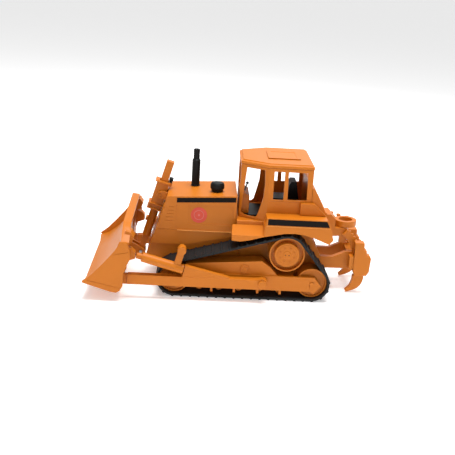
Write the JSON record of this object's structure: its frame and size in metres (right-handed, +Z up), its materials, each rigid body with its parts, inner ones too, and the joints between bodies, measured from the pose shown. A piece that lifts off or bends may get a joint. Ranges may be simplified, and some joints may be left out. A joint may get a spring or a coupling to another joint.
{
  "type": "toy bulldozer",
  "caption": "Orange toy crawler bulldozer with a lifting blade, raised sprocket tracks, open cab and a swinging rear ripper.",
  "frame": {"origin": "centre of the bounding box in X and Y, at the ground the belts stand on", "axes": "+X to the front (blade), +Y to the machine's left, +Z up"},
  "size_m": [0.374, 0.195, 0.1777],
  "materials": {
    "orange_plastic": "satin moulded",
    "edge_plastic": "satin moulded",
    "black_plastic": "matt moulded",
    "grille_plastic": "matt moulded",
    "lever_grey": "satin moulded",
    "belt_rubber": "matt",
    "pin_metal": "satin"
  },
  "bodies": {
    "chassis": {"hull": "orange_plastic", "hood_shell": "orange_plastic", "cab_platform": "orange_plastic", "cab_shell": "orange_plastic", "cab_roof": "orange_plastic", "roof_hatch": "orange_plastic", "dash_console": "orange_plastic", "rear_tank": "orange_plastic", "hitch_block": "orange_plastic", "hitch_knob_1": "orange_plastic", "hitch_knob_2": "orange_plastic", "pivot_shaft": "orange_plastic", "front_idler_pin_left": "orange_plastic", "front_idler_pin_right": "orange_plastic", "rear_idler_pin_left": "orange_plastic", "rear_idler_pin_right": "orange_plastic", "roller_frame_left": "orange_plastic", "roller_frame_right": "orange_plastic", "fender_left": "orange_plastic", "fender_right": "orange_plastic", "arm_pivot_pin_left": "orange_plastic", "arm_pivot_pin_right": "orange_plastic", "exhaust_stack": "black_plastic", "air_precleaner": "black_plastic", "cab_floor": "black_plastic", "operator_seat": "black_plastic", "sprocket_axle": "pin_metal", "ripper_pin": "pin_metal", "track_belt_left": "belt_rubber", "track_belt_right": "belt_rubber", "radiator_grille": "grille_plastic", "control_lever": "lever_grey"},
    "blade": {"blade_moldboard": "orange_plastic", "cutting_edge": "edge_plastic", "lift_foot_pin": "pin_metal", "push_arm_left": "orange_plastic", "push_arm_right": "orange_plastic", "brace_rod_left": "orange_plastic", "brace_rod_right": "orange_plastic"},
    "lift_yoke": {"lift_yoke": "orange_plastic"},
    "lift_bar": {"lift_bar": "orange_plastic"},
    "release_button": {"release_button": "black_plastic"},
    "ripper": {"ripper_frame": "orange_plastic", "shank_holder_left": "orange_plastic", "shank_holder_right": "orange_plastic", "ripper_shank_left": "orange_plastic", "ripper_shank_right": "orange_plastic"},
    "pull_ring": {"pull_ring": "orange_plastic"},
    "brace_left": {"brace_barrel_left": "orange_plastic", "brace_lever_left": "orange_plastic"},
    "sprocket_left": {"drive_sprocket_left": "orange_plastic", "hub_cap_left": "orange_plastic"},
    "front_idler_left": {"front_idler_left": "orange_plastic"},
    "rear_idler_left": {"rear_idler_left": "orange_plastic"},
    "brace_right": {"brace_barrel_right": "orange_plastic", "brace_lever_right": "orange_plastic"},
    "sprocket_right": {"drive_sprocket_right": "orange_plastic", "hub_cap_right": "orange_plastic"},
    "front_idler_right": {"front_idler_right": "orange_plastic"},
    "rear_idler_right": {"rear_idler_right": "orange_plastic"}
  },
  "joints": [
    {"name": "blade_lift", "type": "hinge", "parent": "chassis", "child": "blade", "pos_m": [-0.04, 0, 0.0265], "axis": [0, -1, 0], "range_deg": [-3, 16]},
    {"name": "lift_yoke_swing", "type": "hinge", "parent": "chassis", "child": "lift_yoke", "pos_m": [0.097, 0, 0.11769], "axis": [0, -1, 0], "range_deg": [-1.2, 5.6]},
    {"name": "lift_bar_slide", "type": "slide", "parent": "lift_yoke", "child": "lift_bar", "axis": [-0.2765, 0, 0.961], "range_m": [-0.009, 0.046]},
    {"name": "release_press", "type": "slide", "parent": "lift_yoke", "child": "release_button", "axis": [0.2765, 0, -0.961], "range_m": [0, 0.002], "stiffness_N_per_m": 200},
    {"name": "ripper_lift", "type": "hinge", "parent": "chassis", "child": "ripper", "pos_m": [-0.116, 0, 0.04], "axis": [0, 1, 0], "range_deg": [0, 15]},
    {"name": "ring_pull", "type": "slide", "parent": "chassis", "child": "pull_ring", "axis": [-1, 0, 0], "range_m": [0, 0.003], "stiffness_N_per_m": 300},
    {"name": "brace_turn_left", "type": "hinge", "parent": "blade", "child": "brace_left", "pos_m": [0.06, 0.0806, 0.041], "axis": [0.9658, 0, 0.2595], "range_deg": [-45, 12]},
    {"name": "sprocket_spin_left", "type": "hinge", "parent": "chassis", "child": "sprocket_left", "pos_m": [-0.0705, 0.055, 0.0625], "axis": [0, 1, 0], "continuous": true},
    {"name": "front_idler_spin_left", "type": "hinge", "parent": "chassis", "child": "front_idler_left", "pos_m": [0.0725, 0.055, 0.024], "axis": [0, 1, 0], "continuous": true},
    {"name": "rear_idler_spin_left", "type": "hinge", "parent": "chassis", "child": "rear_idler_left", "pos_m": [-0.1055, 0.055, 0.024], "axis": [0, 1, 0], "continuous": true},
    {"name": "brace_turn_right", "type": "hinge", "parent": "blade", "child": "brace_right", "pos_m": [0.06, -0.0806, 0.041], "axis": [0.9658, 0, 0.2595], "range_deg": [-12, 45]},
    {"name": "sprocket_spin_right", "type": "hinge", "parent": "chassis", "child": "sprocket_right", "pos_m": [-0.0705, -0.055, 0.0625], "axis": [0, 1, 0], "continuous": true},
    {"name": "front_idler_spin_right", "type": "hinge", "parent": "chassis", "child": "front_idler_right", "pos_m": [0.0725, -0.055, 0.024], "axis": [0, 1, 0], "continuous": true},
    {"name": "rear_idler_spin_right", "type": "hinge", "parent": "chassis", "child": "rear_idler_right", "pos_m": [-0.1055, -0.055, 0.024], "axis": [0, 1, 0], "continuous": true}
  ],
  "couplings": [
    {"joint": "lift_yoke_swing", "follows": "blade_lift", "ratio": 0.33},
    {"joint": "lift_bar_slide", "follows": "blade_lift", "m_per_rad": 0.158},
    {"joint": "front_idler_spin_left", "follows": "sprocket_spin_left", "ratio": 1.1508},
    {"joint": "rear_idler_spin_left", "follows": "sprocket_spin_left", "ratio": 1.1508},
    {"joint": "front_idler_spin_right", "follows": "sprocket_spin_right", "ratio": 1.1508},
    {"joint": "rear_idler_spin_right", "follows": "sprocket_spin_right", "ratio": 1.1508}
  ]
}
